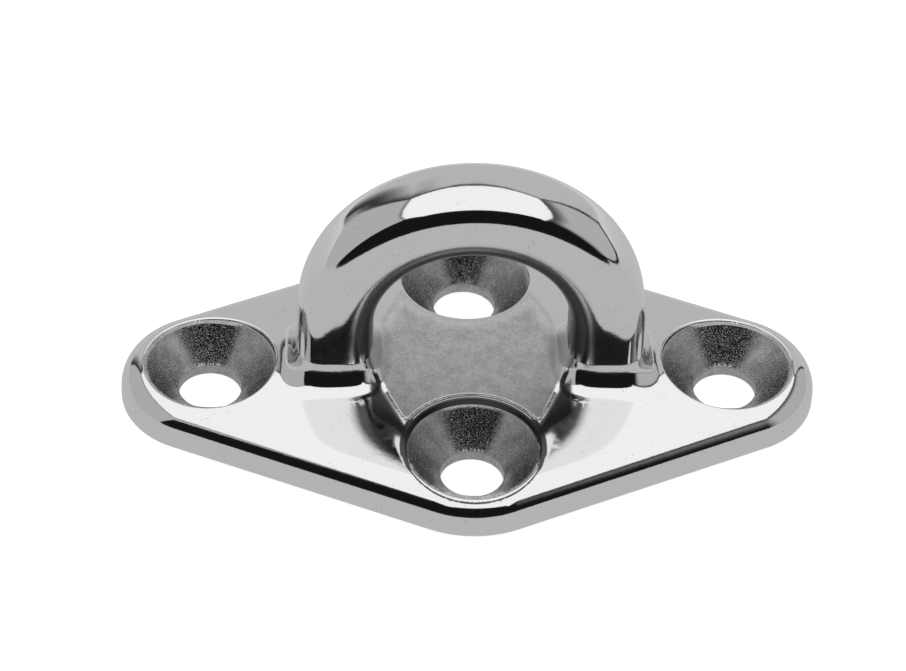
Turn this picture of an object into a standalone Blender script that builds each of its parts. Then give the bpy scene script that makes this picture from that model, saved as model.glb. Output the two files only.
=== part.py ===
"""Deck eye: a rounded diamond base plate with a round bow, made in one piece of stainless steel and
held down by four countersunk screws.

The frame is +Z up in metres. The origin is the centre of the flat underside, X runs along the long
diagonal and the bow stands in the XZ plane, so a line through the eye runs along Y."""

import math

import bmesh
import bpy
from mathutils import Vector

NAME = "deck_eye"

# Base plate: four arcs joined by straight sides
LENGTH = 0.067
WIDTH = 0.0396
END_RADIUS = 0.0084
SIDE_RADIUS = 0.0102

# Edge of the plate from the underside up, and the crown of its top
LOWER_EDGE_RADIUS = 0.0005
EDGE_WALL_TOP = 0.00155
UPPER_EDGE_RADIUS = 0.0027
CROWN_SLOPE = math.radians(6.5)
CROWN_POWER = 5
CROWN_CORE_RADIUS = 0.0005

# Countersunk screw holes: two on the long diagonal, two on the short one
END_HOLE_INSET = 0.00855
SIDE_HOLE_INSET = 0.0077
END_HOLE_X = LENGTH / 2 - END_HOLE_INSET
SIDE_HOLE_Y = WIDTH / 2 - SIDE_HOLE_INSET
BORE_RADIUS = 0.00303
BORE_LAND = 0.00097
CONE_ANGLE = math.radians(90)
SINK_RADIUS = 0.0063

# Raised floor between the legs, hollow where it goes round the holes on the short diagonal
FLOOR_STEP = 0.0002
FLOOR_SINK_RADIUS = 0.00705
FLOOR_CORNER_RADIUS = 0.0006
FLOOR_CORNER_ANGLE = math.radians(58)
FLOOR_SIDE_X = 0.0098
FLOOR_SIDE_RADIUS = 0.0010
FLOOR_SKIRT = 0.0012

# Bow: a rounded square bar, with a fillet at the foot of each leg
BOW_CENTRE_HEIGHT = 0.01075
BOW_OUTER_RADIUS = 0.01665
BOW_HALF_THICKNESS = 0.00365
BOW_HALF_WIDTH = 0.00395
BOW_SQUARENESS = 3.3
ROOT_RADIUS = 0.00215

# Facets
END_STEPS = 14
SIDE_STEPS = 10
LOWER_EDGE_STEPS = 3
UPPER_EDGE_STEPS = 6
CROWN_STEPS = 4
SINK_STEPS = 14
CORNER_STEPS = 4
SKIRT_STEPS = 6
SECTION_STEPS = 28
BOW_STEPS = 32
ROOT_STEPS = 6
HOLE_STEPS = 48

HALF_TURN = math.pi
QUARTER_TURN = math.pi / 2
SHARP_ANGLE = math.radians(35)
WELD_DISTANCE = 0.0000001

STEEL_COLOUR = (0.62, 0.62, 0.61, 1.0)
STEEL_ROUGHNESS = 0.16


def clear_scene():
    for obj in list(bpy.data.objects):
        bpy.data.objects.remove(obj, do_unlink=True)


def new_collection(name):
    collection = bpy.data.collections.new(name)
    bpy.context.scene.collection.children.link(collection)
    return collection


def steel():
    """Polished stainless steel."""
    material = bpy.data.materials.new("stainless steel")
    material.use_nodes = True
    shader = material.node_tree.nodes["Principled BSDF"]
    shader.inputs["Base Color"].default_value = STEEL_COLOUR
    shader.inputs["Metallic"].default_value = 1.0
    shader.inputs["Roughness"].default_value = STEEL_ROUGHNESS
    return material


def spread(start, end, steps):
    """Values from start to end, both included."""
    return [start + (end - start) * i / steps for i in range(steps + 1)]


def from_bmesh(name, mesh, collection):
    data = bpy.data.meshes.new(name)
    mesh.to_mesh(data)
    mesh.free()
    obj = bpy.data.objects.new(name, data)
    collection.objects.link(obj)
    return obj


def loft(name, rings, collection):
    """A closed solid through rings with the same number of points, anticlockwise seen from the last."""
    mesh = bmesh.new()
    levels = [[mesh.verts.new(point) for point in ring] for ring in rings]
    for lower, upper in zip(levels, levels[1:]):
        for i in range(len(lower)):
            j = (i + 1) % len(lower)
            mesh.faces.new((lower[i], lower[j], upper[j], upper[i]))
    mesh.faces.new(list(reversed(levels[0])))
    mesh.faces.new(levels[-1])
    return from_bmesh(name, mesh, collection)


class Arc:
    """A stretch of an outline. Bulge is 1 where the outline is convex and -1 where it is hollow."""

    def __init__(self, centre, radius, start, end, steps, bulge=1):
        self.centre = Vector(centre)
        self.radius = radius
        self.angles = spread(start, end, steps)
        self.bulge = bulge

    def points(self, outward):
        reach = self.radius + self.bulge * outward
        return [self.centre + reach * Vector((math.cos(a), math.sin(a))) for a in self.angles]


def ring_points(arcs, outward, height):
    """The outline moved outward by a distance, at a height. A negative distance moves it inward."""
    return [(p.x, p.y, height) for arc in arcs for p in arc.points(outward)]


def tangent_angle(first, first_radius, second, second_radius):
    """Outward direction of the straight line that touches two circles, for an anticlockwise outline."""
    across = Vector(second) - Vector(first)
    along = math.atan2(across.y, across.x)
    return along - math.acos((first_radius - second_radius) / across.length)


def plate_outline():
    """The rounded diamond, anticlockwise from its +X end."""
    end_x = LENGTH / 2 - END_RADIUS
    side_y = WIDTH / 2 - SIDE_RADIUS
    slant = tangent_angle((end_x, 0), END_RADIUS, (0, side_y), SIDE_RADIUS)
    return [
        Arc((end_x, 0), END_RADIUS, -slant, slant, END_STEPS),
        Arc((0, side_y), SIDE_RADIUS, slant, HALF_TURN - slant, SIDE_STEPS),
        Arc((-end_x, 0), END_RADIUS, HALF_TURN - slant, HALF_TURN + slant, END_STEPS),
        Arc((0, -side_y), SIDE_RADIUS, HALF_TURN + slant, 2 * HALF_TURN - slant, SIDE_STEPS),
    ]


def edge_profile():
    """(inset, height) pairs from the underside up the plate's edge and over its crown."""
    profile = []
    for angle in spread(0, QUARTER_TURN, LOWER_EDGE_STEPS):
        inset = LOWER_EDGE_RADIUS * (1 - math.sin(angle))
        profile.append((inset, LOWER_EDGE_RADIUS * (1 - math.cos(angle))))
    for angle in spread(0, QUARTER_TURN - CROWN_SLOPE, UPPER_EDGE_STEPS):
        inset = UPPER_EDGE_RADIUS * (1 - math.cos(angle))
        profile.append((inset, EDGE_WALL_TOP + UPPER_EDGE_RADIUS * math.sin(angle)))
    edge_inset, edge_height = profile[-1]
    run = min(END_RADIUS, SIDE_RADIUS) - CROWN_CORE_RADIUS - edge_inset
    for share in spread(0, 1, CROWN_STEPS)[1:]:
        rise = run * math.tan(CROWN_SLOPE) * (share - share**CROWN_POWER / CROWN_POWER)
        profile.append((edge_inset + run * share, edge_height + rise))
    return profile


def crown_height():
    return edge_profile()[-1][1]


def plate(collection):
    outline = plate_outline()
    rings = [ring_points(outline, -inset, height) for inset, height in edge_profile()]
    return loft(NAME, rings, collection)


def floor_outline():
    """The raised floor's outline, anticlockwise from its +X side."""
    side_x = FLOOR_SIDE_X - FLOOR_SIDE_RADIUS
    reach = FLOOR_SINK_RADIUS + FLOOR_CORNER_RADIUS
    corner_x = reach * math.sin(FLOOR_CORNER_ANGLE)
    corner_y = SIDE_HOLE_Y - reach * math.cos(FLOOR_CORNER_ANGLE)
    slant = tangent_angle(
        (side_x, 0), FLOOR_SIDE_RADIUS, (corner_x, corner_y), FLOOR_CORNER_RADIUS
    )
    hollow = FLOOR_CORNER_ANGLE - QUARTER_TURN
    corner_end = hollow + HALF_TURN

    def corner(x, y, start, end):
        return Arc((x, y), FLOOR_CORNER_RADIUS, start, end, CORNER_STEPS)

    def around_hole(y, start, end):
        return Arc((0, y), FLOOR_SINK_RADIUS, start, end, SINK_STEPS, bulge=-1)

    def side(x, start, end):
        return Arc((x, 0), FLOOR_SIDE_RADIUS, start, end, CORNER_STEPS)

    return [
        side(side_x, -slant, slant),
        corner(corner_x, corner_y, slant, corner_end),
        around_hole(SIDE_HOLE_Y, hollow, -HALF_TURN - hollow),
        corner(-corner_x, corner_y, HALF_TURN - corner_end, HALF_TURN - slant),
        side(-side_x, HALF_TURN - slant, HALF_TURN + slant),
        corner(-corner_x, -corner_y, HALF_TURN + slant, HALF_TURN + corner_end),
        around_hole(-SIDE_HOLE_Y, HALF_TURN + hollow, -hollow),
        corner(corner_x, -corner_y, -corner_end, -slant),
    ]


def raised_floor(collection):
    """Flat on top, with sides that fall to the crown in an S and go on down into the plate."""
    outline = floor_outline()
    rings = [ring_points(outline, FLOOR_SKIRT, EDGE_WALL_TOP)]
    for share in spread(1, 0, SKIRT_STEPS):
        rise = FLOOR_STEP * (1 + math.cos(HALF_TURN * share)) / 2
        rings.append(ring_points(outline, FLOOR_SKIRT * share, crown_height() + rise))
    return loft("raised floor", rings, collection)


def bar_section(flare):
    """(outward, sideways) pairs of the bow's bar, made larger all round by the flare."""
    half_thickness = BOW_HALF_THICKNESS + flare
    half_width = BOW_HALF_WIDTH + flare
    section = []
    for angle in spread(0, 2 * HALF_TURN, SECTION_STEPS)[:-1]:
        outward = math.copysign(abs(math.cos(angle)) ** (2 / BOW_SQUARENESS), math.cos(angle))
        sideways = math.copysign(abs(math.sin(angle)) ** (2 / BOW_SQUARENESS), math.sin(angle))
        section.append((half_thickness * outward, half_width * sideways))
    return section


def root_stations():
    """Height and flare of a leg's rings, from inside the plate to the top of the fillet."""
    stations = [(EDGE_WALL_TOP, ROOT_RADIUS)]
    for angle in spread(0, QUARTER_TURN, ROOT_STEPS):
        height = crown_height() + ROOT_RADIUS * (1 - math.cos(angle))
        stations.append((height, ROOT_RADIUS * (1 - math.sin(angle))))
    return stations


def bow(collection):
    """One sweep from the foot of the +X leg over the arch to the foot of the other."""
    radius = BOW_OUTER_RADIUS - BOW_HALF_THICKNESS
    up = root_stations()
    stations = [(Vector((radius, 0, height)), Vector((1, 0, 0)), flare) for height, flare in up]
    for angle in spread(0, HALF_TURN, BOW_STEPS):
        outward = Vector((math.cos(angle), 0, math.sin(angle)))
        centre = radius * outward + Vector((0, 0, BOW_CENTRE_HEIGHT))
        stations.append((centre, outward, 0))
    for height, flare in reversed(up):
        stations.append((Vector((-radius, 0, height)), Vector((-1, 0, 0)), flare))
    rings = []
    for centre, outward, flare in stations:
        rings.append([centre + u * outward + Vector((0, v, 0)) for u, v in bar_section(flare)])
    return loft("bow", rings, collection)


def sink_cutter(x, y, collection):
    """Bore, cone and wall of one countersunk hole, as a turned profile from the top down."""
    cone_top = BORE_LAND + (SINK_RADIUS - BORE_RADIUS) / math.tan(CONE_ANGLE / 2)
    above = BOW_CENTRE_HEIGHT
    below = -BOW_CENTRE_HEIGHT
    profile = [
        (0, above),
        (SINK_RADIUS, above),
        (SINK_RADIUS, cone_top),
        (BORE_RADIUS, BORE_LAND),
        (BORE_RADIUS, below),
        (0, below),
    ]
    mesh = bmesh.new()
    verts = [mesh.verts.new((radius, 0, height)) for radius, height in profile]
    for first, second in zip(verts, verts[1:]):
        mesh.edges.new((first, second))
    obj = from_bmesh("countersunk hole", mesh, collection)
    obj.location = (x, y, 0)
    turn = obj.modifiers.new("turn", "SCREW")
    turn.steps = HOLE_STEPS
    turn.render_steps = HOLE_STEPS
    turn.use_merge_vertices = True
    turn.merge_threshold = WELD_DISTANCE
    turn.use_smooth_shade = False
    return obj


def combine(body, other, operation):
    """Joins another shape to the body, or cuts it away, and keeps that shape out of the part."""
    other.hide_render = True
    other.display_type = "WIRE"
    step = body.modifiers.new(other.name, "BOOLEAN")
    step.operation = operation
    step.solver = "EXACT"
    step.object = other


def build():
    clear_scene()
    parts = new_collection("Deck eye")
    helpers = new_collection("Cutters and joined shapes")
    helpers.hide_render = True
    body = plate(parts)
    combine(body, raised_floor(helpers), "UNION")
    combine(body, bow(helpers), "UNION")
    for x, y in [(END_HOLE_X, 0), (-END_HOLE_X, 0), (0, SIDE_HOLE_Y), (0, -SIDE_HOLE_Y)]:
        combine(body, sink_cutter(x, y, helpers), "DIFFERENCE")
    body.data.materials.append(steel())
    body.data.shade_smooth()
    body.data.set_sharp_from_angle(angle=SHARP_ANGLE)


build()
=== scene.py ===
"""Looks for the deck eye: one smooth stainless steel casting, a white studio and the photo's camera.

Lengths are in millimetres until a mesh is made. X runs along the plate's long diagonal, Y through the
eye and Z up from the underside."""

import math

import bmesh
import bpy
import numpy as np
from mathutils import Matrix, Vector, geometry


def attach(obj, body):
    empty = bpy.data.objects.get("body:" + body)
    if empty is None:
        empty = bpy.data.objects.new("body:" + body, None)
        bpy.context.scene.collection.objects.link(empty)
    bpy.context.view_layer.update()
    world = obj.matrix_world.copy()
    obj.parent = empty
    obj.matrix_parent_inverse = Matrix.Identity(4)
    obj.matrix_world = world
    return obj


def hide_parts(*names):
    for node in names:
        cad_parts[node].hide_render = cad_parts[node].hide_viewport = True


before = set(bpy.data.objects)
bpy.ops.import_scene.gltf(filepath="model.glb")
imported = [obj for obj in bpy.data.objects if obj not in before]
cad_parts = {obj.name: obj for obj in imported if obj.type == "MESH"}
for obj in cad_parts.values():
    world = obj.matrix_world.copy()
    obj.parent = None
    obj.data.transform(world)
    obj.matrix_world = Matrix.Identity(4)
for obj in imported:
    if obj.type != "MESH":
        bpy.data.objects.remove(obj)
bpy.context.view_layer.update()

MM = 0.001

# Base plate
LENGTH = 67.0
WIDTH = 39.6
END_RADIUS = 8.4
SIDE_RADIUS = 10.2
LOWER_EDGE_RADIUS = 0.5
EDGE_WALL_TOP = 1.55
UPPER_EDGE_RADIUS = 2.7
CROWN_SLOPE = math.radians(6.5)
CROWN_REACH = 9.5
CROWN_POWER = 5

# Countersunk holes: their places, the bore, and the cone with its steep wall and rounded rim
HOLES = [(24.95, 0.0), (0.0, 12.1), (-24.95, 0.0), (0.0, -12.1)]
BORE_RADIUS = 3.03
BORE_LAND = 0.97
BORE_EDGE = 0.12
BORE_BREAK = 0.04
SINK_RADIUS = 6.3
SINK_WALL_SLOPE = 12.0
SINK_RIM_RADIUS = 0.25
SINK_SEAM = 0.05

# Raised floor between the legs, cut away round the front and back holes
FLOOR_HEIGHT = 4.93
FLOOR_SINK_RADIUS = 7.05
FLOOR_CORNER = 0.6
FLOOR_SLANT = math.radians(22.0)
FLOOR_REACH = 9.1
FLOOR_SKIRT = 2.4

# Bow, and the feet of its legs: a leaning strip, a long curve and a short one
BOW_CENTRE_HEIGHT = 10.75
BOW_OUTER_RADIUS = 16.65
BOW_HALF_THICKNESS = 3.65
BOW_HALF_WIDTH = 3.95
BOW_SQUARENESS = 3.3
BOW_RADIUS = BOW_OUTER_RADIUS - BOW_HALF_THICKNESS
FOOT_REACH = 2.25
FOOT_STRIP = 0.24
FOOT_LEAN = math.radians(73)
FOOT_LONG_RADIUS = 3.9
FOOT_TURN = math.radians(50.5)

# Cast skin of the floor: how fast it fades in front and behind, and where it ends beside the legs
FRONT_FADE = 0.12
BACK_FADE = 1.4
FLOOR_FINISH_GAP = 1.6

# Dull corners with painted shade between the floor's slanted sides and the plate
DULL_SHADE_LIP = 0.4
DULL_SHADE_FADE = 0.2
DULL_SHADE_SIDE = 9.72
DULL_SHADE_SLANT = math.radians(43.8)
DULL_SHADE_REACH = 12.4

# Dull line with painted shade round the front hole, which widens towards the dull corners
LINE_INNER = 6.62
LINE_OUTER = 6.8
LINE_GROWTH = 0.15
LINE_FADE = 0.03
LINE_WIDENS_FROM = -3.0
LINE_WIDENS_OVER = 2.0
LINE_TURN = 3.5

# Dull inside of the bow with painted shade, by how far its surface faces inwards
INSIDE_START = 0.05
INSIDE_FADE = 0.25

# Cones: where their finish ends, and how much more their shading leans than their mesh
CONE_FINISH_GAP = 0.04
CONE_LEAN = 1.5

# Mesh density
OUTLINE_SPACING = 0.45
LOWER_EDGE_RINGS = 6
UPPER_EDGE_RINGS = 13
HOLE_POINTS = 200
BORE_EDGE_RINGS = 4
CONE_RINGS = 12
WALL_RINGS = 5
RIM_RINGS = 16
AROUND_RINGS = 6
RING_REACH = 1.1
FLOOR_POINTS = 280
FLOOR_RINGS = 12
LEG_GAP = 0.05
FOOT_RINGS = 13
SECTION_POINTS = 120
SECTION_SAMPLES = 4001
ARCH_STEPS = 120
LEG_STEPS = [0.0, 0.33, 0.67]
GRID_SPACINGS = [0.9, 0.45, 0.22, 0.11]
GRID_SHAKE = 0.08
GRID_SEED = 7
TURN_PER_CELL = 0.12

# Precision: searches halve their range so often, and points this near are on a border or the same
SEARCH_STEPS = 40
LEG_RANGE = (-2.0, 60.0)
NORMAL_STEP = 0.004
ON_BORDER = 0.001
SAME_POINT = 0.002
SAME_PLACE = 0.00001

# Metal: scales are noise cells to a metre, ranges are noise values and depths are metres
STEEL_TONE = 0.86
POLISH_ROUGHNESS = 0.07
PIT_SCALE = 5200.0
PIT_DETAIL = 1.0
PIT_RANGE = (0.68, 0.72)
PIT_DARKNESS = 0.35
PATCH_SCALE = 260.0
PATCH_RANGE = (0.5, 0.62)
UNEVEN_SCALE = 700.0
UNEVEN_DETAIL = 3.0
UNEVEN_DEPTH = 0.000006
# Dull places: a near-black tone that is painted shade, and their roughness
PAINTED_SHADE_TONE = 0.09
DULL_ROUGHNESS = 0.28

MOTTLE_SCALE = 900.0
MOTTLE_DETAIL = 4.0
MOTTLE_CONTRAST = 0.65
GRAIN_SCALE = 5200.0
GRAIN_DETAIL = 2.0
NOISE_CONTRAST = 0.6
FLOOR_GRAIN_SHARE = 0.5
FLOOR_GRAIN_DEPTH = 0.00002
FLOOR_RANGE = (0.36, 0.64)
FLOOR_TONES = (0.4, 0.58)
FLOOR_ROUGHNESS = 0.42

CONE_GRAIN_SCALE = 9000.0
CONE_GRAIN_SHARE = 0.75
CONE_GRAIN_DEPTH = 0.000012
CONE_MOTTLE_DETAIL = 3.0
CONE_RANGE = (0.38, 0.66)
CONE_TONES = (0.3, 0.7)
CONE_ROUGHNESS = 0.16
SPARKLE_RANGE = (0.58, 0.68)
SPARKLE_DEPTH = 0.00004

# Photo camera: direction, distance and lens found from the outline and the holes
PHOTO_WIDTH = 906
SENSOR_WIDTH = 36
CAMERA_YAW = math.radians(-3.613)
CAMERA_RISE = math.radians(41.921)
CAMERA_ROLL = math.radians(2.584)
CAMERA_DISTANCE = 435.7
CAMERA_TARGET = Vector((0, 0, 8.0))
CAMERA_LENS = 4541.9 / PHOTO_WIDTH * SENSOR_WIDTH
CAMERA_SHIFT = (-17.365 / PHOTO_WIDTH, -1.393 / PHOTO_WIDTH)
CAMERA_CLIP = 0.01

# Studio that the metal mirrors, by slopes from straight up: forwards to the camera, and sideways
HORIZON = 0.001
SOFT = 0.015
PANEL_LIGHT = 1.0
PANEL_BACK = math.tan(math.radians(46))
PANEL_FRONT = math.tan(math.radians(53))
PANEL_LEFT = 0.836
PANEL_LEFT_SPREAD = 0.073
PANEL_RIGHT = 0.99
PANEL_RIGHT_SPREAD = 0.12

SIDE_LIGHT = 0.46
SIDE_SHADE = 0.06
LEFT_FADE = 0.09
RIGHT_FADE = 0.55

BACK_START = 0.1
BACK_SLOPE_LEFT = 1.17
BACK_SLOPE_RIGHT = 1.03
BACK_LIGHT = 0.52
BACK_SHADE = 0.035
BACK_SHADE_END = 1.5
BACK_SHADE_SIDE = (-0.75, -0.3)
BACK_LINE_LIGHT = 0.03
BACK_LINE_WIDTH = 0.045
BACK_LINE_CORE = 0.6

FRONT_START = 0.4
FRONT_SLOPE_LEFT = 0.59
FRONT_SLOPE_RIGHT = 1.0
FRONT_BLEND = 0.3
GAP_LIGHT = 0.008
GAP_RIGHT_START = 0.4
GAP_RIGHT_END = 0.85

# Table: its sides and front edge in metres, its tone, and its light in the metal's mirror image
TABLE_LEFT = -0.3
TABLE_RIGHT = 0.45
TABLE_BACK = 1.5
TABLE_FRONT = 0.066
TABLE_OPENING = 0.55
TABLE_COLUMNS = 151
TABLE_COLOUR = 0.45
TABLE_SHOWN = 0.82
TABLE_SHADE_FROM = -0.02
TABLE_SHADE_TO = 0.2
TABLE_FRONT_LIGHT = 0.52
TABLE_BACK_LIGHT = 0.66


def smooth_min(a, b, blend):
    """The lower of two heights, with the crease between them rounded over the blend."""
    share = np.clip(0.5 + 0.5 * (b - a) / blend, 0, 1)
    return b + (a - b) * share - blend * share * (1 - share)


def smooth_max(a, b, blend):
    return -smooth_min(-a, -b, blend)


def outline_angle():
    """Outward direction of the plate's straight side, from the X axis."""
    end = LENGTH / 2 - END_RADIUS
    side = WIDTH / 2 - SIDE_RADIUS
    along = math.atan2(side, -end)
    return along - math.acos((END_RADIUS - SIDE_RADIUS) / math.hypot(end, side))


def outline_samples():
    """Points of the outline with their outward directions, anticlockwise from the +X end."""
    slant = outline_angle()
    end = (LENGTH / 2 - END_RADIUS, 0.0)
    side = (0.0, WIDTH / 2 - SIDE_RADIUS)
    arcs = [
        (end, END_RADIUS, -slant, slant),
        (side, SIDE_RADIUS, slant, math.pi - slant),
        ((-end[0], 0.0), END_RADIUS, math.pi - slant, math.pi + slant),
        ((0.0, -side[1]), SIDE_RADIUS, math.pi + slant, 2 * math.pi - slant),
    ]
    feet = []
    normals = []
    for number, (centre, radius, start, stop) in enumerate(arcs):
        count = max(2, round(radius * (stop - start) / OUTLINE_SPACING))
        angles = np.linspace(start, stop, count + 1)
        away = np.stack([np.cos(angles), np.sin(angles)], 1)
        feet.append(np.array(centre) + radius * away)
        normals.append(away)
        follow_centre, follow_radius, follow_start, _ = arcs[(number + 1) % len(arcs)]
        first = feet[-1][-1]
        turn = np.array([math.cos(follow_start), math.sin(follow_start)])
        last = np.array(follow_centre) + follow_radius * turn
        steps = round(float(np.linalg.norm(last - first)) / OUTLINE_SPACING)
        shares = np.linspace(0, 1, steps + 1)[1:-1, None]
        feet.append(first + (last - first) * shares)
        normals.append(np.repeat(away[-1:], len(shares), 0))
    return np.concatenate(feet), np.concatenate(normals)


def outline_inset(x, y):
    """How far a point lies inside the plate's outline."""
    x = np.abs(x)
    y = np.abs(y)
    slant = outline_angle()
    end = LENGTH / 2 - END_RADIUS
    side = WIDTH / 2 - SIDE_RADIUS
    from_line = END_RADIUS + end * math.cos(slant) - x * math.cos(slant) - y * math.sin(slant)
    past_end = (x - end) * -math.sin(slant) + y * math.cos(slant) < 0
    past_side = x * -math.sin(slant) + (y - side) * math.cos(slant) > 0
    inset = np.where(past_end, END_RADIUS - np.hypot(x - end, y), from_line)
    return np.where(past_side, SIDE_RADIUS - np.hypot(x, y - side), inset)


def outside_holes(x, y, radius):
    """True where a point is farther than a radius from every hole's axis."""
    clear = np.ones(np.shape(x), bool)
    for hole_x, hole_y in HOLES:
        clear &= np.hypot(x - hole_x, y - hole_y) > radius
    return clear


def plate_height(x, y):
    """The plate's top without floor, legs and holes: its rounded edge and its low crown."""
    inset = np.maximum(outline_inset(x, y), 0)
    edge_inset = UPPER_EDGE_RADIUS * (1 - math.sin(CROWN_SLOPE))
    share = np.clip(inset / UPPER_EDGE_RADIUS, 0, 1)
    edge = EDGE_WALL_TOP + UPPER_EDGE_RADIUS * np.sqrt(np.maximum(1 - (1 - share) ** 2, 0))
    run = CROWN_REACH - edge_inset
    along = np.clip((inset - edge_inset) / run, 0, 1)
    top = EDGE_WALL_TOP + UPPER_EDGE_RADIUS * math.cos(CROWN_SLOPE)
    crown = top + run * math.tan(CROWN_SLOPE) * (along - along**CROWN_POWER / CROWN_POWER)
    return np.where(inset < edge_inset, edge, crown)


def floor_distance(x, y):
    """Distance outside the raised floor's outline, negative on the floor."""
    slanted = np.abs(x) * math.cos(FLOOR_SLANT) + np.abs(y) * math.sin(FLOOR_SLANT) - FLOOR_REACH
    around_hole = FLOOR_SINK_RADIUS - np.hypot(x, np.abs(y) - HOLES[1][1])
    beyond_hole = np.abs(y) - HOLES[1][1]
    return np.maximum(smooth_max(slanted, around_hole, FLOOR_CORNER), beyond_hole)


def leg_distance(x, y):
    """Distance outside a leg's section, measured by growing the section."""
    across = np.abs(np.abs(x) - BOW_RADIUS)
    along = np.abs(y)
    low = np.full(np.shape(across), LEG_RANGE[0])
    high = np.full(np.shape(across), LEG_RANGE[1])
    for _ in range(SEARCH_STEPS):
        middle = (low + high) / 2
        value = (across / (BOW_HALF_THICKNESS + middle)) ** BOW_SQUARENESS
        value = value + (along / (BOW_HALF_WIDTH + middle)) ** BOW_SQUARENESS
        low = np.where(value > 1, middle, low)
        high = np.where(value > 1, high, middle)
    return (low + high) / 2


def foot_height(x, y):
    """Height that the foot of a leg adds: a leaning strip, a long curve and a short one."""
    away = leg_distance(x, y)
    long_run = FOOT_LONG_RADIUS * (math.sin(FOOT_LEAN) - math.sin(FOOT_TURN))
    short_run = FOOT_REACH - FOOT_STRIP - long_run
    short_radius = short_run / math.sin(FOOT_TURN)
    turn = np.clip(FOOT_REACH - away, 0, short_run) / short_radius
    short_curve = short_radius * (1 - np.sqrt(1 - turn**2))
    turn = math.sin(FOOT_TURN) + np.clip(FOOT_STRIP + long_run - away, 0, long_run) / FOOT_LONG_RADIUS
    long_curve = FOOT_LONG_RADIUS * (math.cos(FOOT_TURN) - np.sqrt(1 - turn**2))
    strip = np.clip(FOOT_STRIP - away, 0, FOOT_STRIP) * math.tan(FOOT_LEAN)
    return short_curve + long_curve + strip


def sink_height(radius):
    """Cone and wall of a countersunk hole."""
    cone = BORE_LAND + radius - BORE_RADIUS
    wall = BORE_LAND + SINK_RADIUS - BORE_RADIUS + (radius - SINK_RADIUS) * SINK_WALL_SLOPE
    return smooth_max(cone, wall, SINK_SEAM)


def rim_drop(radius):
    """How far the rounded rim of a countersunk hole lies under the top."""
    left = 1 - np.clip((radius - SINK_RADIUS) / SINK_RIM_RADIUS, 0, 1)
    return SINK_RIM_RADIUS * (1 - np.sqrt(np.maximum(1 - left**2, 0)))


def top_height(x, y):
    """Height of the top of the casting, outside the legs and the bores."""
    plate = plate_height(x, y)
    share = np.clip(floor_distance(x, y) / FLOOR_SKIRT, 0, 1)
    raised = (1 + np.cos(math.pi * share)) / 2
    height = plate + (FLOOR_HEIGHT - plate) * raised + foot_height(x, y)
    for hole_x, hole_y in HOLES:
        radius = np.hypot(x - hole_x, y - hole_y)
        height = smooth_min(height - rim_drop(radius), sink_height(radius), SINK_SEAM)
    return height


def top_normal(x, y):
    rise_x = top_height(x + NORMAL_STEP, y) - top_height(x - NORMAL_STEP, y)
    rise_y = top_height(x, y + NORMAL_STEP) - top_height(x, y - NORMAL_STEP)
    slope_x = rise_x / (2 * NORMAL_STEP)
    slope_y = rise_y / (2 * NORMAL_STEP)
    normal = np.stack([-slope_x, -slope_y, np.ones_like(slope_x)], 1)
    return normal / np.linalg.norm(normal, axis=1, keepdims=True)


def surface_turn(x, y, reach):
    """How fast the normal turns round a point, in radians a millimetre."""
    across = top_normal(x + reach, y) - top_normal(x - reach, y)
    along = top_normal(x, y + reach) - top_normal(x, y - reach)
    return np.maximum(np.linalg.norm(across, axis=1), np.linalg.norm(along, axis=1)) / (2 * reach)


def cast_skin(x, y):
    """1 on the raised floor, 0 on polished places. It ends sharply in front and softly behind."""
    fade = np.where(y < 0, FRONT_FADE, BACK_FADE)
    on_floor = np.clip(0.5 - (floor_distance(x, y) + fade / 2 * (y < 0)) / fade, 0, 1)
    off_leg = np.clip((leg_distance(x, y) - FLOOR_FINISH_GAP) / BACK_FADE + 1, 0, 1)
    return on_floor * off_leg


def line_share(x, y):
    """1 on the dull line with painted shade round the front hole, which widens beside the dull corners.
    """
    along = y - HOLES[3][1]
    radius = np.hypot(x, along)
    wide = np.clip((along - LINE_WIDENS_FROM) / LINE_WIDENS_OVER, 0, 1) * (along < LINE_TURN)
    outside = radius - LINE_OUTER - LINE_GROWTH * wide
    inside = LINE_INNER - (LINE_INNER - SINK_RADIUS) * wide - radius
    return np.clip(-np.maximum(outside, inside) / LINE_FADE, 0, 1)


def dull_and_shade_share(x, y):
    """1 in the dull corners in front of the bow, where the polishing wheel can't reach, and on the line
    round the front hole, all with painted shade; 0 on polished places.
    """
    across = np.abs(x)
    along = -y
    slanted = across * math.cos(DULL_SHADE_SLANT) + along * math.sin(DULL_SHADE_SLANT) - DULL_SHADE_REACH
    outside = smooth_max(slanted, across - DULL_SHADE_SIDE, FLOOR_CORNER)
    inside = np.minimum(floor_distance(x, y) - DULL_SHADE_LIP, -outside)
    inside = np.minimum(inside, along - BOW_HALF_WIDTH)
    corner = np.clip(inside / DULL_SHADE_FADE, 0, 1)
    return np.maximum(corner, line_share(x, y))


def bar_section():
    """Evenly spaced points of the bow's bar, as (outward, sideways) pairs, with their normals."""
    angles = np.linspace(0, 2 * math.pi, SECTION_SAMPLES)
    power = 2 / BOW_SQUARENESS
    u = BOW_HALF_THICKNESS * np.sign(np.cos(angles)) * np.abs(np.cos(angles)) ** power
    v = BOW_HALF_WIDTH * np.sign(np.sin(angles)) * np.abs(np.sin(angles)) ** power
    walked = np.concatenate([[0], np.cumsum(np.hypot(np.diff(u), np.diff(v)))])
    marks = np.linspace(0, walked[-1], SECTION_POINTS + 1)[:-1]
    u = np.interp(marks, walked, u)
    v = np.interp(marks, walked, v)
    power = BOW_SQUARENESS - 1
    away_u = np.sign(u) * np.abs(u / BOW_HALF_THICKNESS) ** power / BOW_HALF_THICKNESS
    away_v = np.sign(v) * np.abs(v / BOW_HALF_WIDTH) ** power / BOW_HALF_WIDTH
    length = np.hypot(away_u, away_v)
    return u, v, away_u / length, away_v / length


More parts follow.
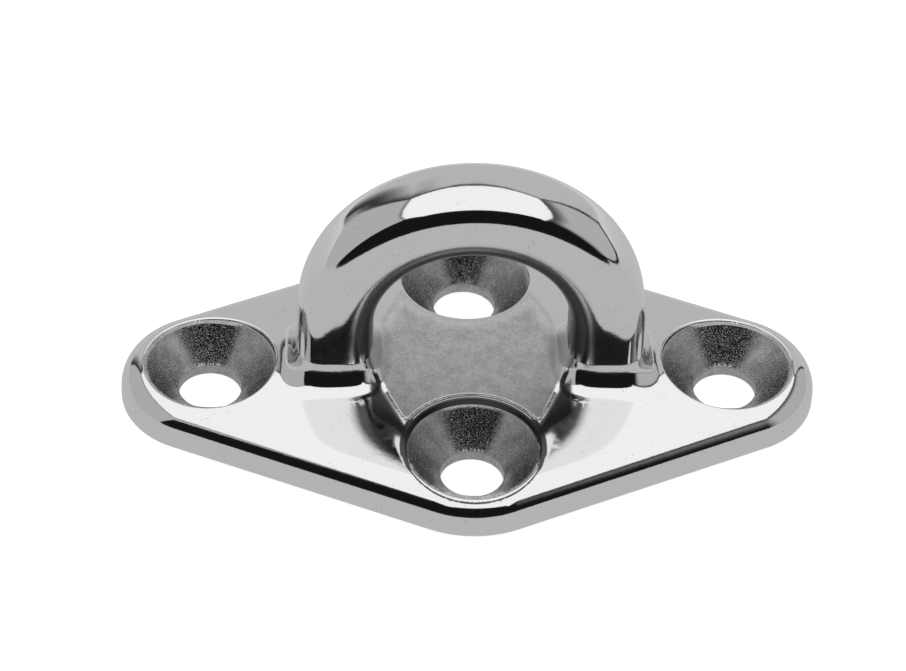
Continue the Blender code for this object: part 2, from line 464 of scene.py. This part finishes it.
class Casting:
    """Collects points with exact normals and the faces between them."""

    def __init__(self):
        self.mesh = bmesh.new()
        self.normal = self.mesh.verts.layers.float_vector.new("exact_normal")
        self.skin = self.mesh.verts.layers.float.new("cast_skin")
        # Share of dull finish with painted shade at each point
        self.dull_and_shade = self.mesh.verts.layers.float.new("dull_and_shade")

    def ring(self, points, normals, skin=None, dull_and_shade=None):
        row = []
        for number, (point, normal) in enumerate(zip(points, normals)):
            vert = self.mesh.verts.new([float(value) * MM for value in point])
            vert[self.normal] = Vector([float(value) for value in normal])
            if skin is not None:
                vert[self.skin] = float(skin[number])
                vert[self.dull_and_shade] = float(dull_and_shade[number])
            row.append(vert)
        return row

    def bridge(self, rows):
        """Quads between each closed row and the next."""
        for lower, upper in zip(rows, rows[1:]):
            for i in range(len(lower)):
                j = (i + 1) % len(lower)
                self.mesh.faces.new((lower[i], lower[j], upper[j], upper[i]))

    def sheet(self, points, normals, triangles, skin=None, dull_and_shade=None, in_cone=None):
        row = self.ring(points, normals, skin, dull_and_shade)
        for number, (a, b, c) in enumerate(triangles):
            face = self.mesh.faces.new((row[a], row[b], row[c]))
            if in_cone is not None:
                face.material_index = int(in_cone[number])


def border_labels(x, y, hole_radius, edge_inset):
    """-1 outside the plate's border, 1 to 4 on a hole's border, 5 and 6 on a leg's, 0 elsewhere."""
    labels = np.zeros(len(x), int)
    for number, (hole_x, hole_y) in enumerate(HOLES):
        off_border = np.hypot(x - hole_x, y - hole_y) - hole_radius
        labels[np.abs(off_border) < ON_BORDER] = 1 + number
    on_leg = np.abs(leg_distance(x, y)) < ON_BORDER
    labels[on_leg & (x > 0)] = 5
    labels[on_leg & (x < 0)] = 6
    labels[outline_inset(x, y) < edge_inset - ON_BORDER] = -1
    return labels


def triangulate(points, hole_radius, edge_inset):
    """Delaunay triangles between points in the plane, without those outside or inside a border."""
    flat = [Vector((float(x), float(y))) for x, y in points]
    verts, _, faces, *_ = geometry.delaunay_2d_cdt(flat, [], [], 0, SAME_PLACE)
    placed = np.array([(v.x, v.y) for v in verts])
    faces = np.array([face for face in faces if len(face) == 3])
    first, second, third = border_labels(*placed.T, hole_radius, edge_inset)[faces].T
    in_border = (first > 0) & (first == second) & (second == third)
    outside = np.minimum(np.minimum(first, second), third) < 0
    faces = faces[~in_border & ~outside]
    edge = placed[faces[:, 1]] - placed[faces[:, 0]]
    other = placed[faces[:, 2]] - placed[faces[:, 0]]
    turned = edge[:, 0] * other[:, 1] - edge[:, 1] * other[:, 0] < 0
    faces[turned] = faces[turned][:, ::-1]
    return placed, faces


def hole_ring(hole, radius):
    angles = np.linspace(0, 2 * math.pi, HOLE_POINTS + 1)[:-1]
    return np.stack([hole[0] + radius * np.cos(angles), hole[1] + radius * np.sin(angles)], 1)


def hole_rings():
    """Rings round every hole: over the cone, its wall and rim, the dull line and the plate round it."""
    turns = np.linspace(0, math.pi / 2, RIM_RINGS)
    radii = [
        *np.linspace(BORE_RADIUS + BORE_EDGE, SINK_RADIUS - SINK_SEAM, CONE_RINGS),
        *np.linspace(SINK_RADIUS - SINK_SEAM, SINK_RADIUS, WALL_RINGS)[1:],
        *(SINK_RADIUS + SINK_RIM_RADIUS * (1 - np.cos(turns)))[1:],
        *(LINE_INNER, LINE_INNER + LINE_FADE, LINE_OUTER - LINE_FADE, LINE_OUTER),
        *np.linspace(LINE_OUTER, SINK_RADIUS + RING_REACH, AROUND_RINGS)[1:],
    ]
    return [hole_ring(hole, radius) for hole in HOLES for radius in radii]


def edge_rings(feet, outward):
    """Rings over the plate's rounded upper edge."""
    angles = np.linspace(0, math.pi / 2, UPPER_EDGE_RINGS)[:-1]
    return [feet - UPPER_EDGE_RADIUS * (1 - math.cos(angle)) * outward for angle in angles]


def floor_ring(level):
    """Points at one distance outside the raised floor's outline, found along rays from the centre."""
    angles = np.linspace(0, 2 * math.pi, FLOOR_POINTS + 1)[:-1]
    low = np.zeros(FLOOR_POINTS)
    high = np.full(FLOOR_POINTS, HOLES[1][1])
    for _ in range(SEARCH_STEPS):
        middle = (low + high) / 2
        outside = floor_distance(middle * np.cos(angles), middle * np.sin(angles)) > level
        low = np.where(outside, low, middle)
        high = np.where(outside, middle, high)
    return np.stack([low * np.cos(angles), low * np.sin(angles)], 1)


def floor_rings():
    """Rings along the floor's outline and skirt, clear of the holes' rings and the legs."""
    rings = []
    for level in np.linspace(-FRONT_FADE, FLOOR_SKIRT, FLOOR_RINGS):
        ring = floor_ring(level)
        clear = outside_holes(*ring.T, SINK_RADIUS + RING_REACH) & (leg_distance(*ring.T) > LEG_GAP)
        rings.append(ring[clear])
    return rings


def leg_ring(side, grow, u, v):
    x = side * (BOW_RADIUS + u * (BOW_HALF_THICKNESS + grow) / BOW_HALF_THICKNESS)
    y = v * (BOW_HALF_WIDTH + grow) / BOW_HALF_WIDTH
    return np.stack([x, y], 1)


def foot_rings(u, v):
    """Rings round both legs over their feet, closer together near the leg."""
    rings = []
    for side in (1, -1):
        for angle in np.linspace(0, math.pi / 2, FOOT_RINGS):
            ring = leg_ring(side, FOOT_REACH * (1 - math.sin(angle)), u, v)
            rings.append(ring[outside_holes(*ring.T, SINK_RADIUS + RING_REACH)])
    return rings


def grid_points():
    """A grid over the top that is finer where the surface turns faster."""
    chosen = []
    random = np.random.default_rng(GRID_SEED)
    for level, spacing in enumerate(GRID_SPACINGS):
        xs = np.arange(-LENGTH / 2, LENGTH / 2, spacing)
        ys = np.arange(-WIDTH / 2, WIDTH / 2, spacing)
        x, y = [axis.ravel() for axis in np.meshgrid(xs, ys)]
        x = x + spacing / 2
        y = y + spacing / 2
        clear = outline_inset(x, y) > UPPER_EDGE_RADIUS
        clear &= outside_holes(x, y, SINK_RADIUS + RING_REACH)
        clear &= leg_distance(x, y) > FOOT_REACH
        x = x[clear]
        y = y[clear]
        if level:
            needed = surface_turn(x, y, spacing) * GRID_SPACINGS[level - 1] > TURN_PER_CELL
            x = x[needed]
            y = y[needed]
        shake = random.uniform(-GRID_SHAKE, GRID_SHAKE, (len(x), 2)) * spacing
        chosen.append(np.stack([x, y], 1) + shake)
    return np.concatenate(chosen)


def add_lower_edge(casting, feet, outward):
    """The plate's rounded lower edge and the upright wall over it."""
    rows = []
    flat = np.zeros(len(feet))

    def add_row(inset, height, rise):
        points = np.column_stack([feet - inset * outward, flat + height])
        normals = np.column_stack([outward * math.cos(rise), flat + math.sin(rise)])
        rows.append(casting.ring(points, normals))

    for angle in np.linspace(0, math.pi / 2, LOWER_EDGE_RINGS):
        inset = LOWER_EDGE_RADIUS * (1 - math.sin(angle))
        height = LOWER_EDGE_RADIUS * (1 - math.cos(angle))
        add_row(inset, height, angle - math.pi / 2)
    add_row(0.0, EDGE_WALL_TOP, 0.0)
    casting.bridge(rows)


def add_top(casting, feet, outward, u, v):
    """Everything that is seen from above, from the outline to the bores and the legs.

    A row of helper points outside the outline keeps its straight sides free of slivers."""
    rings = [*edge_rings(feet, outward), *hole_rings(), *floor_rings(), *foot_rings(u, v)]
    points = np.concatenate([*rings, grid_points()])
    kept = outside_holes(*points.T, BORE_RADIUS + BORE_EDGE / 2)
    kept &= outline_inset(*points.T) > -ON_BORDER
    helpers = feet + OUTLINE_SPACING * outward
    placed, triangles = triangulate(np.concatenate([points[kept], helpers]), BORE_RADIUS + BORE_EDGE, 0)
    x, y = placed.T
    height = top_height(x, y)
    normals = top_normal(x, y)
    at_edge = np.abs(outline_inset(x, y)) < ON_BORDER
    at_leg = np.abs(leg_distance(x, y)) < ON_BORDER
    height[at_edge] = EDGE_WALL_TOP
    normals[at_edge | at_leg, 2] = 0
    normals[~outside_holes(x, y, SINK_RADIUS - 2 * SINK_SEAM), 2] /= CONE_LEAN
    normals /= np.linalg.norm(normals, axis=1, keepdims=True)
    in_cone = ~outside_holes(*placed[triangles].mean(1).T, SINK_RADIUS - CONE_FINISH_GAP)
    top = np.column_stack([placed, height])
    casting.sheet(top, normals, triangles, cast_skin(x, y), dull_and_shade_share(x, y), in_cone)


def add_bore(casting, hole):
    """Rounded upper edge of a bore, its wall and its broken lower edge."""
    profile = []
    start = math.pi / 4
    for angle in np.linspace(start, math.pi / 2, BORE_EDGE_RINGS):
        radius = BORE_RADIUS + BORE_EDGE * (1 - math.sin(angle)) / (1 - math.sin(start))
        level = BORE_LAND + BORE_EDGE * math.cos(angle) / math.cos(start)
        profile.append((radius, level, -math.sin(angle), math.cos(angle)))
    profile.append((BORE_RADIUS, BORE_BREAK, -1.0, 0.0))
    profile.append((BORE_RADIUS + BORE_BREAK, 0.0, 0.0, -1.0))
    around = hole_ring((0.0, 0.0), 1.0)
    ones = np.ones(HOLE_POINTS)
    rows = []
    for radius, level, inward, up in profile:
        points = np.column_stack([around * radius + hole, ones * level])
        normals = np.column_stack([around * inward, ones * up])
        rows.append(casting.ring(points, normals, ones, ones * 0))
    casting.bridge(rows)


def add_underside(casting, feet, outward):
    rings = [feet - LOWER_EDGE_RADIUS * outward, feet]
    rings += [hole_ring(hole, BORE_RADIUS + BORE_BREAK) for hole in HOLES]
    placed, triangles = triangulate(np.concatenate(rings), BORE_RADIUS + BORE_BREAK, LOWER_EDGE_RADIUS)
    down = np.tile([0.0, 0.0, -1.0], (len(placed), 1))
    casting.sheet(np.column_stack([placed, np.zeros(len(placed))]), down, triangles[:, ::-1])


def add_bow(casting, u, v, away_u, away_v):
    """One sweep from the foot of the +X leg over the arch to the foot of the other."""
    rows = []
    polished = np.zeros(SECTION_POINTS)
    # Faces turned into the arch are dull, with painted shade
    dull_and_shade = np.clip((-away_u - INSIDE_START) / INSIDE_FADE, 0, 1)

    def add_row(centre_x, heights, outward_x, outward_z):
        x = centre_x + u * outward_x
        z = heights + u * outward_z
        normals = np.column_stack([away_u * outward_x, away_v, away_u * outward_z])
        rows.append(casting.ring(np.column_stack([x, v, z]), normals, polished, dull_and_shade))

    def leg_levels(side):
        foot = top_height(side * (BOW_RADIUS + u), v)
        return [foot + (BOW_CENTRE_HEIGHT - foot) * share for share in LEG_STEPS]

    for heights in leg_levels(1):
        add_row(BOW_RADIUS, heights, 1.0, 0.0)
    for angle in np.linspace(0, math.pi, ARCH_STEPS + 1):
        centre_x = BOW_RADIUS * math.cos(angle)
        centre_z = BOW_CENTRE_HEIGHT + BOW_RADIUS * math.sin(angle)
        add_row(centre_x, centre_z, math.cos(angle), math.sin(angle))
    for heights in reversed(leg_levels(-1)):
        add_row(-BOW_RADIUS, heights, -1.0, 0.0)
    casting.bridge(rows)


def finish_mesh(casting):
    """Joins the sheets along their borders and gives the object its exact normals."""
    mesh = casting.mesh
    bmesh.ops.remove_doubles(mesh, verts=mesh.verts, dist=SAME_POINT * MM)
    loose = [vert for vert in mesh.verts if not vert.link_faces]
    bmesh.ops.delete(mesh, geom=loose, context="VERTS")
    data = bpy.data.meshes.new("deck_eye_casting")
    mesh.to_mesh(data)
    mesh.free()
    data.shade_smooth()
    normals = np.empty(len(data.vertices) * 3, np.float32)
    data.attributes["exact_normal"].data.foreach_get("vector", normals)
    data.normals_split_custom_set_from_vertices(normals.reshape(-1, 3).tolist())
    obj = bpy.data.objects.new("deck_eye_casting", data)
    bpy.context.scene.collection.objects.link(obj)
    return obj


def build_casting():
    """The deck eye as one closed mesh."""
    casting = Casting()
    feet, outward = outline_samples()
    u, v, away_u, away_v = bar_section()
    add_lower_edge(casting, feet, outward)
    add_top(casting, feet, outward, u, v)
    for hole in HOLES:
        add_bore(casting, hole)
    add_underside(casting, feet, outward)
    add_bow(casting, u, v, away_u, away_v)
    return finish_mesh(casting)


class Nodes:
    """Short calls for the nodes of one tree."""

    def __init__(self, tree):
        self.tree = tree

    def new(self, kind, **settings):
        node = self.tree.nodes.new(kind)
        for name, value in settings.items():
            setattr(node, name, value)
        return node

    def set(self, socket, value):
        if isinstance(value, bpy.types.NodeSocket):
            self.tree.links.new(value, socket)
        else:
            socket.default_value = value

    def math(self, operation, first, second=0.0, third=0.0):
        node = self.new("ShaderNodeMath", operation=operation)
        for socket, value in zip(node.inputs, (first, second, third)):
            self.set(socket, value)
        return node.outputs[0]

    def ramp(self, value, start, stop, low=0.0, high=1.0):
        """A smooth step from low to high while the value goes from start to stop."""
        node = self.new("ShaderNodeMapRange", interpolation_type="SMOOTHSTEP")
        names = ("Value", "From Min", "From Max", "To Min", "To Max")
        for name, given in zip(names, (value, start, stop, low, high)):
            self.set(node.inputs[name], given)
        return node.outputs["Result"]

    def mix(self, share, first, second):
        """The first value where the share is 0 and the second where it is 1."""
        node = self.new("ShaderNodeMix", data_type="FLOAT")
        self.set(node.inputs["Factor"], share)
        self.set(node.inputs["A"], first)
        self.set(node.inputs["B"], second)
        return node.outputs["Result"]

    def noise(self, place, scale, detail=2.0, roughness=0.5):
        node = self.new("ShaderNodeTexNoise")
        self.set(node.inputs["Vector"], place)
        node.inputs["Scale"].default_value = scale
        node.inputs["Detail"].default_value = detail
        node.inputs["Roughness"].default_value = roughness
        return node.outputs["Fac"]

    def attribute(self, name):
        return self.new("ShaderNodeAttribute", attribute_name=name).outputs["Fac"]

    def grey(self, value):
        node = self.new("ShaderNodeCombineColor")
        for socket in node.inputs:
            if socket.enabled:
                self.set(socket, value)
        return node.outputs[0]

    def relief(self, height):
        """Surface normal of a height in metres."""
        node = self.new("ShaderNodeBump")
        self.set(node.inputs["Height"], height)
        node.inputs["Distance"].default_value = 1.0
        return node.outputs["Normal"]


def steel(name, roughness):
    """A metal material, its shader, its nodes and the place on the object in metres."""
    material = bpy.data.materials.new(name)
    material.use_nodes = True
    nodes = Nodes(material.node_tree)
    shader = material.node_tree.nodes["Principled BSDF"]
    shader.inputs["Metallic"].default_value = 1.0
    shader.inputs["Roughness"].default_value = roughness
    place = nodes.new("ShaderNodeTexCoord").outputs["Object"]
    return material, shader, nodes, place


def casting_steel():
    """Polished steel with fine pits, dull with painted shade in narrow corners and inside the bow, and
    the cast skin of the raised floor.
    """
    material, shader, nodes, place = steel("stainless steel casting", POLISH_ROUGHNESS)
    skin = nodes.attribute("cast_skin")
    dull_and_shade = nodes.attribute("dull_and_shade")

    pits = nodes.ramp(nodes.noise(place, PIT_SCALE, PIT_DETAIL), *PIT_RANGE)
    patches = nodes.ramp(nodes.noise(place, PATCH_SCALE), *PATCH_RANGE)
    pits = nodes.math("MULTIPLY", pits, patches)
    polished = nodes.math("MULTIPLY_ADD", pits, -PIT_DARKNESS, STEEL_TONE)
    # Painted shade: dull places take a near-black tone
    polished = nodes.mix(dull_and_shade, polished, PAINTED_SHADE_TONE)

    mottling = nodes.noise(place, MOTTLE_SCALE, MOTTLE_DETAIL, MOTTLE_CONTRAST)
    mottling = nodes.math("MULTIPLY", mottling, 1 - FLOOR_GRAIN_SHARE)
    grain = nodes.noise(place, GRAIN_SCALE, GRAIN_DETAIL, NOISE_CONTRAST)
    mixed = nodes.math("MULTIPLY_ADD", grain, FLOOR_GRAIN_SHARE, mottling)
    cast = nodes.ramp(mixed, *FLOOR_RANGE, *FLOOR_TONES)
    nodes.set(shader.inputs["Base Color"], nodes.grey(nodes.mix(skin, polished, cast)))

    roughness = nodes.mix(dull_and_shade, POLISH_ROUGHNESS, DULL_ROUGHNESS)
    nodes.set(shader.inputs["Roughness"], nodes.mix(skin, roughness, FLOOR_ROUGHNESS))
    uneven = nodes.noise(place, UNEVEN_SCALE, UNEVEN_DETAIL, NOISE_CONTRAST)
    uneven = nodes.math("MULTIPLY", uneven, UNEVEN_DEPTH)
    height = nodes.mix(skin, uneven, nodes.math("MULTIPLY", grain, FLOOR_GRAIN_DEPTH))
    nodes.set(shader.inputs["Normal"], nodes.relief(height))
    return material


def cone_steel():
    """Cones of the countersunk holes: darker, mottled and finely sparkling."""
    material, shader, nodes, place = steel("stainless steel cone", CONE_ROUGHNESS)
    grain = nodes.noise(place, CONE_GRAIN_SCALE, GRAIN_DETAIL, NOISE_CONTRAST)
    mottling = nodes.noise(place, MOTTLE_SCALE, CONE_MOTTLE_DETAIL, NOISE_CONTRAST)
    mottling = nodes.math("MULTIPLY", mottling, 1 - CONE_GRAIN_SHARE)
    mixed = nodes.math("MULTIPLY_ADD", grain, CONE_GRAIN_SHARE, mottling)
    tone = nodes.ramp(mixed, *CONE_RANGE, *CONE_TONES)
    nodes.set(shader.inputs["Base Color"], nodes.grey(tone))
    sparkles = nodes.ramp(grain, *SPARKLE_RANGE, 0.0, SPARKLE_DEPTH)
    height = nodes.math("MULTIPLY_ADD", grain, CONE_GRAIN_DEPTH, sparkles)
    nodes.set(shader.inputs["Normal"], nodes.relief(height))
    return material


def add_camera():
    back = Vector((
        math.sin(CAMERA_YAW) * math.cos(CAMERA_RISE),
        -math.cos(CAMERA_YAW) * math.cos(CAMERA_RISE),
        math.sin(CAMERA_RISE),
    ))
    level = Vector((math.cos(CAMERA_YAW), math.sin(CAMERA_YAW), 0))
    upright = back.cross(level)
    right = level * math.cos(CAMERA_ROLL) + upright * math.sin(CAMERA_ROLL)
    up = upright * math.cos(CAMERA_ROLL) - level * math.sin(CAMERA_ROLL)
    data = bpy.data.cameras.new("camera")
    data.lens = CAMERA_LENS
    data.sensor_width = SENSOR_WIDTH
    data.shift_x, data.shift_y = CAMERA_SHIFT
    data.clip_start = CAMERA_CLIP
    camera = bpy.data.objects.new("camera", data)
    place = (CAMERA_TARGET + back * CAMERA_DISTANCE) * MM
    camera.matrix_world = Matrix((
        (right.x, up.x, back.x, place.x),
        (right.y, up.y, back.y, place.y),
        (right.z, up.z, back.z, place.z),
        (0, 0, 0, 1),
    ))
    bpy.context.scene.collection.objects.link(camera)
    bpy.context.scene.camera = camera


def panel_and_walls(nodes, past_left, past_right, on_left):
    """Light of the overhead panel, and of the side walls past its edges, dark near the panel."""
    to_right = nodes.ramp(past_right, -SOFT, SOFT, 1.0, 0.0)
    from_left = nodes.ramp(past_left, -SOFT, SOFT, 1.0, 0.0)
    on_panel = nodes.math("MULTIPLY", from_left, to_right)
    left_wall = nodes.ramp(past_left, 0.0, LEFT_FADE, SIDE_SHADE, SIDE_LIGHT)
    right_wall = nodes.ramp(past_right, 0.0, RIGHT_FADE, SIDE_SHADE, SIDE_LIGHT)
    return nodes.mix(on_panel, nodes.mix(on_left, right_wall, left_wall), PANEL_LIGHT)


def with_back_wall(nodes, light, behind, sideways):
    """Adds the back wall, shaded on the left, and the thin dark line at its near edge."""
    near_middle = nodes.ramp(sideways, *BACK_SHADE_SIDE)
    shade = nodes.mix(near_middle, BACK_SHADE, BACK_LIGHT)
    wall = nodes.ramp(behind, 1.0, BACK_SHADE_END, shade, BACK_LIGHT)
    light = nodes.mix(nodes.ramp(behind, 1 - SOFT, 1 + SOFT), light, wall)
    off_line = nodes.math("SUBTRACT", behind, 1 + BACK_LINE_WIDTH)
    off_line = nodes.math("ABSOLUTE", nodes.math("DIVIDE", off_line, BACK_LINE_WIDTH))
    line = nodes.ramp(off_line, BACK_LINE_CORE, 1.0, 1.0, 0.0)
    return nodes.mix(line, light, BACK_LINE_LIGHT)


def front_gap(nodes, forward, wall_edge, past_left, past_right):
    """1 in the black gap before the panel and the side walls. It starts softly on the right."""
    past_side = nodes.math("MAXIMUM", past_left, past_right)
    near_side = nodes.ramp(past_side, -FRONT_BLEND, 0.0)
    before = nodes.math("DIVIDE", forward, nodes.mix(near_side, PANEL_FRONT, wall_edge))
    start = nodes.ramp(past_right, -SOFT, SOFT, 1 - SOFT, GAP_RIGHT_START)
    end = nodes.ramp(past_right, -SOFT, SOFT, 1 + SOFT, GAP_RIGHT_END)
    return nodes.ramp(before, start, end)


def low_right_gap(nodes, z, sideways, behind):
    """1 under the horizon on the right, as far as the back wall."""
    below = nodes.math("LESS_THAN", z, HORIZON)
    beside = nodes.math("LESS_THAN", behind, 1.0)
    low_right = nodes.math("MULTIPLY", below, nodes.math("GREATER_THAN", sideways, 0.0))
    return nodes.math("MULTIPLY", low_right, beside)


def studio_light(nodes):
    """Brightness of the studio in each direction.

    The overhead panel runs from back to front, and its corners go on down to the horizon as the
    edges of the side walls. Behind it is the back wall, after a thin dark line, and before it a
    black gap."""
    axes = nodes.new("ShaderNodeSeparateXYZ")
    nodes.set(axes.inputs[0], nodes.new("ShaderNodeTexCoord").outputs["Generated"])
    x, y, z = axes.outputs
    above = nodes.math("MAXIMUM", z, HORIZON)
    forward = nodes.math("MULTIPLY", nodes.math("DIVIDE", y, above), -1.0)
    sideways = nodes.math("DIVIDE", x, above)
    aside = nodes.math("ABSOLUTE", sideways)
    on_left = nodes.math("LESS_THAN", sideways, 0.0)

    slope = nodes.mix(on_left, BACK_SLOPE_RIGHT, BACK_SLOPE_LEFT)
    back_edge = nodes.math("MULTIPLY_ADD", aside, slope, BACK_START)
    back_edge = nodes.math("MAXIMUM", back_edge, PANEL_BACK)
    behind = nodes.math("MULTIPLY", nodes.math("DIVIDE", forward, back_edge), -1.0)
    slope = nodes.mix(on_left, FRONT_SLOPE_RIGHT, FRONT_SLOPE_LEFT)
    wall_edge = nodes.math("MULTIPLY_ADD", aside, slope, FRONT_START)
    right_edge = nodes.math("MULTIPLY_ADD", forward, PANEL_RIGHT_SPREAD, PANEL_RIGHT)
    left_edge = nodes.math("MULTIPLY_ADD", forward, PANEL_LEFT_SPREAD, PANEL_LEFT)
    past_right = nodes.math("SUBTRACT", sideways, right_edge)
    past_left = nodes.math("MULTIPLY", nodes.math("ADD", sideways, left_edge), -1.0)

    light = panel_and_walls(nodes, past_left, past_right, on_left)
    light = with_back_wall(nodes, light, behind, sideways)
    gap = front_gap(nodes, forward, wall_edge, past_left, past_right)
    gap = nodes.math("MAXIMUM", gap, low_right_gap(nodes, z, sideways, behind))
    return nodes.mix(gap, light, GAP_LIGHT)


def studio_world():
    """The studio for mirrored and scattered light, and plain white for the camera."""
    world = bpy.data.worlds.new("studio")
    bpy.context.scene.world = world
    world.use_nodes = True
    nodes = Nodes(world.node_tree)
    background = world.node_tree.nodes["Background"]
    path = nodes.new("ShaderNodeLightPath")
    seen = nodes.mix(path.outputs["Is Camera Ray"], studio_light(nodes), 1.0)
    nodes.set(background.inputs["Strength"], seen)
    background.inputs["Color"].default_value = (1, 1, 1, 1)


def front_edge(x):
    """Y of the table's front edge, which is hollow in front of the part."""
    return -math.hypot(TABLE_FRONT, TABLE_OPENING * x)


def table_mesh():
    mesh = bmesh.new()
    columns = np.linspace(TABLE_LEFT, TABLE_RIGHT, TABLE_COLUMNS).tolist()
    for left, right in zip(columns, columns[1:]):
        corners = [
            (left, front_edge(left)),
            (right, front_edge(right)),
            (right, TABLE_BACK),
            (left, TABLE_BACK),
        ]
        mesh.faces.new([mesh.verts.new((x, y, 0)) for x, y in corners])
    data = bpy.data.meshes.new("floor")
    mesh.to_mesh(data)
    mesh.free()
    return data


def white_table():
    """Matte grey that the camera sees as white with the part's faint shadow, and the metal as grey."""
    material = bpy.data.materials.new("white table")
    material.use_nodes = True
    nodes = Nodes(material.node_tree)
    shader = material.node_tree.nodes["Principled BSDF"]
    shader.inputs["Base Color"].default_value = (TABLE_COLOUR, TABLE_COLOUR, TABLE_COLOUR, 1)
    shader.inputs["Roughness"].default_value = 1.0
    shader.inputs["Specular IOR Level"].default_value = 0.0
    shader.inputs["Emission Color"].default_value = (1, 1, 1, 1)
    path = nodes.new("ShaderNodeLightPath")
    shown = nodes.math("MULTIPLY", path.outputs["Is Camera Ray"], TABLE_SHOWN)
    nodes.set(shader.inputs["Emission Strength"], shown)

    place = nodes.new("ShaderNodeSeparateXYZ")
    nodes.set(place.inputs[0], nodes.new("ShaderNodeTexCoord").outputs["Object"])
    shades = (TABLE_FRONT_LIGHT, TABLE_BACK_LIGHT)
    tone = nodes.ramp(place.outputs["Y"], TABLE_SHADE_FROM, TABLE_SHADE_TO, *shades)
    mirrored = nodes.new("ShaderNodeEmission")
    nodes.set(mirrored.inputs["Strength"], tone)
    choice = nodes.new("ShaderNodeMixShader")
    nodes.set(choice.inputs[0], path.outputs["Is Glossy Ray"])
    nodes.set(choice.inputs[1], shader.outputs[0])
    nodes.set(choice.inputs[2], mirrored.outputs[0])
    nodes.set(material.node_tree.nodes["Material Output"].inputs["Surface"], choice.outputs[0])
    return material


def add_floor():
    floor = bpy.data.objects.new("floor", table_mesh())
    bpy.context.scene.collection.objects.link(floor)
    floor.data.materials.append(white_table())


def add_casting():
    casting = build_casting()
    casting.data.materials.append(casting_steel())
    casting.data.materials.append(cone_steel())
    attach(casting, "root")
    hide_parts("deck_eye")


bpy.context.scene.view_settings.view_transform = "Standard"
add_casting()
add_camera()
studio_world()
add_floor()
